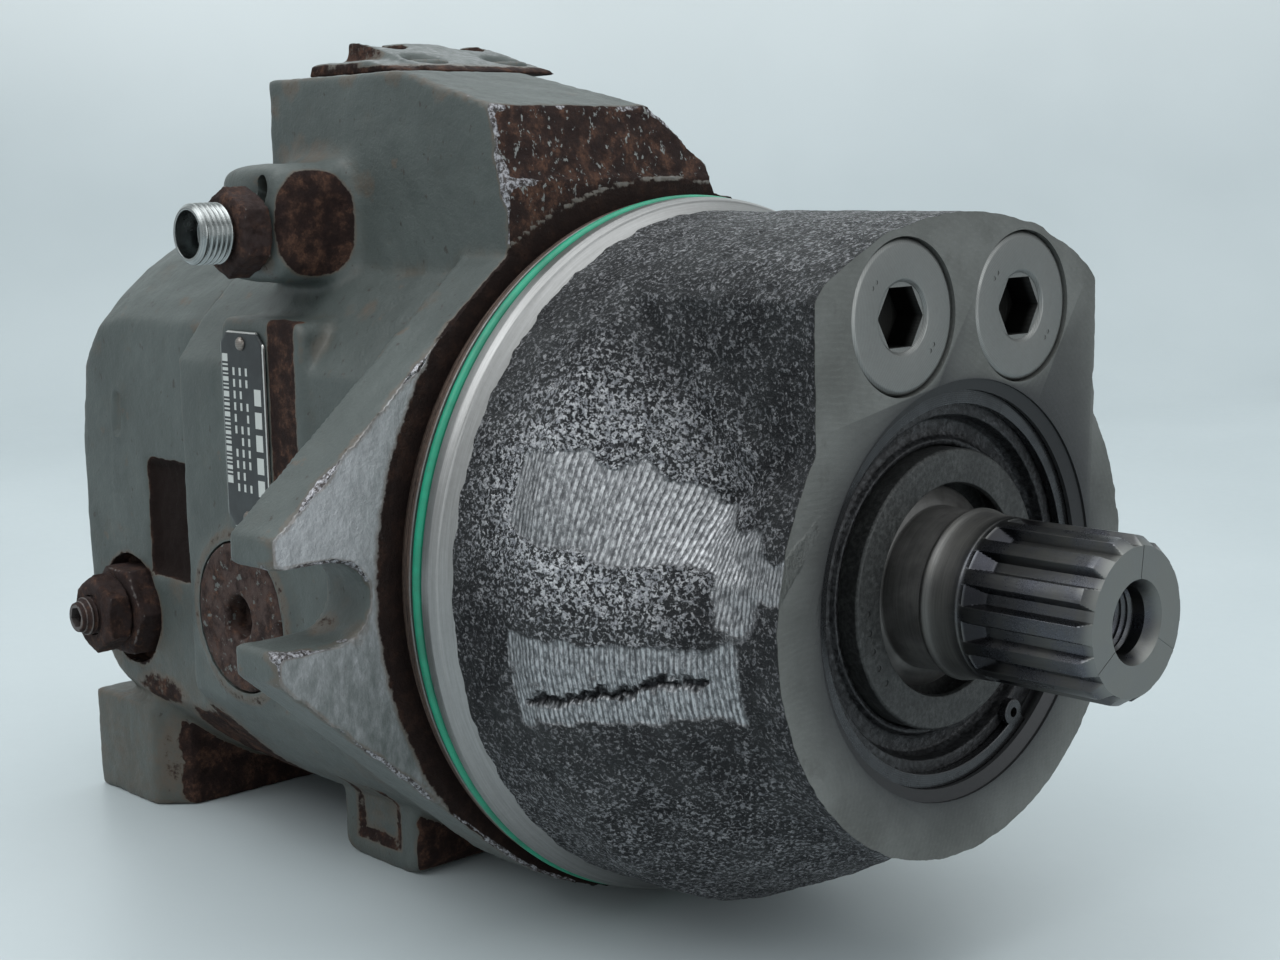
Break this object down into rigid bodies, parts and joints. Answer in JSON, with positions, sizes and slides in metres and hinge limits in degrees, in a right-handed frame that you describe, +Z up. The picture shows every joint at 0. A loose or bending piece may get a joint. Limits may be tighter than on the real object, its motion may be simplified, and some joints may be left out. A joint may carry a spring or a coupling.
{
  "type": "hydraulic motor",
  "caption": "Plug-in hydraulic motor: a variable swashplate axial-piston unit with a splined shaft, a two-slot mounting flange and a painted cast housing.",
  "frame": {"origin": "middle of the surface the motor stands on, under the centre of its overall box", "axes": "+X along the shaft towards its splined end, +Z up, name plate on the -Y side"},
  "size_m": [0.3558, 0.2586, 0.2385],
  "materials": {
    "housing": "bare cast iron ahead of the flange, worn grey-green paint with rust behind it",
    "rear_plate": "grey-green paint over a casting, dirty, with rust patches",
    "cover": "grey-green paint, rusty along the joint",
    "plate_bolt": "dark steel with paint and rust on the head",
    "cover_screw": "dark rusty steel",
    "name_plate": "black printed aluminium with light bars",
    "rivet": "dull",
    "rusted_fastener": "brown rust, matt",
    "zinc": "bright zinc plate",
    "front_plug": "dark phosphated steel, satin",
    "seal_ring": "green, satin",
    "circlip": "black spring steel",
    "seal_carrier": "dark oily cast iron",
    "shaft_seal": "dark pressed steel, oily",
    "shaft": "ground steel, oily",
    "bearing_steel": "ground",
    "ground_steel": "ground",
    "bronze": "turned, satin",
    "block": "machined, satin"
  },
  "bodies": {
    "housing": {"housing": "housing", "rear_plate": "rear_plate", "plate_bolt_1": "plate_bolt", "plate_bolt_2": "plate_bolt", "plate_bolt_3": "plate_bolt", "plate_bolt_4": "plate_bolt", "top_cover": "cover", "cover_screw_1": "cover_screw", "cover_screw_2": "cover_screw", "cover_screw_3": "cover_screw", "cover_screw_4": "cover_screw", "name_plate": "name_plate", "name_plate_rivet_1": "rivet", "name_plate_rivet_2": "rivet", "side_plug": "rusted_fastener", "adjuster_sleeve": "rusted_fastener", "lock_nut": "rusted_fastener", "fitting_body": "rusted_fastener", "fitting_stub": "zinc", "servo_plug_left": "front_plug", "servo_plug_right": "front_plug", "pilot_seal_ring": "seal_ring", "circlip": "circlip", "seal_carrier": "seal_carrier", "shaft_seal": "shaft_seal", "front_bearing_outer": "bearing_steel", "rear_bearing_outer": "bearing_steel", "cradle_bearing_left": "bronze", "cradle_bearing_right": "bronze", "valve_plate": "bronze"},
    "rotor": {"shaft": "shaft", "front_bearing_inner": "bearing_steel", "cylinder_block": "block", "block_spring": "ground_steel", "spherical_bush": "bronze"},
    "front_roller_set": {"front_bearing_rollers": "bearing_steel"},
    "rear_roller_set": {"rear_bearing_rollers": "bearing_steel"},
    "swashplate": {"swashplate": "ground_steel"},
    "servo_piston_left": {"servo_piston_left": "ground_steel"},
    "servo_piston_right": {"servo_piston_right": "ground_steel"},
    "retaining_plate": {"retaining_plate": "ground_steel"},
    "adjusting_screw": {"adjusting_screw": "rusted_fastener"},
    "piston_1": {"piston_1": "ground_steel", "slipper_1": "bronze"},
    "piston_2": {"piston_2": "ground_steel", "slipper_2": "bronze"},
    "piston_3": {"piston_3": "ground_steel", "slipper_3": "bronze"},
    "piston_4": {"piston_4": "ground_steel", "slipper_4": "bronze"},
    "piston_5": {"piston_5": "ground_steel", "slipper_5": "bronze"},
    "piston_6": {"piston_6": "ground_steel", "slipper_6": "bronze"},
    "piston_7": {"piston_7": "ground_steel", "slipper_7": "bronze"},
    "piston_8": {"piston_8": "ground_steel", "slipper_8": "bronze"},
    "piston_9": {"piston_9": "ground_steel", "slipper_9": "bronze"}
  },
  "joints": [
    {"name": "shaft_spin", "type": "hinge", "parent": "housing", "child": "rotor", "pos_m": [0, 0, 0.098], "axis": [1, 0, 0], "continuous": true},
    {"name": "front_roller_orbit", "type": "hinge", "parent": "housing", "child": "front_roller_set", "pos_m": [0, 0, 0.098], "axis": [1, 0, 0], "continuous": true},
    {"name": "rear_roller_orbit", "type": "hinge", "parent": "housing", "child": "rear_roller_set", "pos_m": [0, 0, 0.098], "axis": [1, 0, 0], "continuous": true},
    {"name": "swashplate_tilt", "type": "hinge", "parent": "housing", "child": "swashplate", "pos_m": [0.00955, 0, 0.098], "axis": [0, -1, 0], "range_deg": [0, 18]},
    {"name": "servo_left_stroke", "type": "slide", "parent": "housing", "child": "servo_piston_left", "axis": [-1, 0, 0], "range_m": [0, 0.0211]},
    {"name": "servo_right_stroke", "type": "slide", "parent": "housing", "child": "servo_piston_right", "axis": [-1, 0, 0], "range_m": [0, 0.0211]},
    {"name": "retaining_plate_shift", "type": "slide", "parent": "rotor", "child": "retaining_plate", "axis": [-1, 0, 0], "range_m": [0, 0.0155]},
    {"name": "piston_1_stroke", "type": "slide", "parent": "rotor", "child": "piston_1", "axis": [-1, 0, 0], "range_m": [0, 0.0155]},
    {"name": "piston_2_stroke", "type": "slide", "parent": "rotor", "child": "piston_2", "axis": [-1, 0, 0], "range_m": [0, 0.0155]},
    {"name": "piston_3_stroke", "type": "slide", "parent": "rotor", "child": "piston_3", "axis": [-1, 0, 0], "range_m": [0, 0.0155]},
    {"name": "piston_4_stroke", "type": "slide", "parent": "rotor", "child": "piston_4", "axis": [-1, 0, 0], "range_m": [0, 0.0155]},
    {"name": "piston_5_stroke", "type": "slide", "parent": "rotor", "child": "piston_5", "axis": [-1, 0, 0], "range_m": [0, 0.0155]},
    {"name": "piston_6_stroke", "type": "slide", "parent": "rotor", "child": "piston_6", "axis": [-1, 0, 0], "range_m": [0, 0.0155]},
    {"name": "piston_7_stroke", "type": "slide", "parent": "rotor", "child": "piston_7", "axis": [-1, 0, 0], "range_m": [0, 0.0155]},
    {"name": "piston_8_stroke", "type": "slide", "parent": "rotor", "child": "piston_8", "axis": [-1, 0, 0], "range_m": [0, 0.0155]},
    {"name": "piston_9_stroke", "type": "slide", "parent": "rotor", "child": "piston_9", "axis": [-1, 0, 0], "range_m": [0, 0.0155]},
    {"name": "adjusting_screw_travel", "type": "slide", "parent": "housing", "child": "adjusting_screw", "axis": [0, -1, 0], "range_m": [-0.003, 0.004]}
  ],
  "couplings": [
    {"joint": "front_roller_orbit", "follows": "shaft_spin", "ratio": 0.446},
    {"joint": "rear_roller_orbit", "follows": "shaft_spin", "ratio": 0.441},
    {"joint": "servo_left_stroke", "follows": "swashplate_tilt", "m_per_rad": 0.0665},
    {"joint": "servo_right_stroke", "follows": "swashplate_tilt", "m_per_rad": 0.0665},
    {"joint": "retaining_plate_shift", "follows": "swashplate_tilt", "m_per_rad": 0.0488},
    {"joint": "piston_1_stroke", "follows": "swashplate_tilt", "m_per_rad": 0.0488},
    {"joint": "piston_2_stroke", "follows": "swashplate_tilt", "m_per_rad": 0.0488},
    {"joint": "piston_3_stroke", "follows": "swashplate_tilt", "m_per_rad": 0.0488},
    {"joint": "piston_4_stroke", "follows": "swashplate_tilt", "m_per_rad": 0.0488},
    {"joint": "piston_5_stroke", "follows": "swashplate_tilt", "m_per_rad": 0.0488},
    {"joint": "piston_6_stroke", "follows": "swashplate_tilt", "m_per_rad": 0.0488},
    {"joint": "piston_7_stroke", "follows": "swashplate_tilt", "m_per_rad": 0.0488},
    {"joint": "piston_8_stroke", "follows": "swashplate_tilt", "m_per_rad": 0.0488},
    {"joint": "piston_9_stroke", "follows": "swashplate_tilt", "m_per_rad": 0.0488}
  ]
}
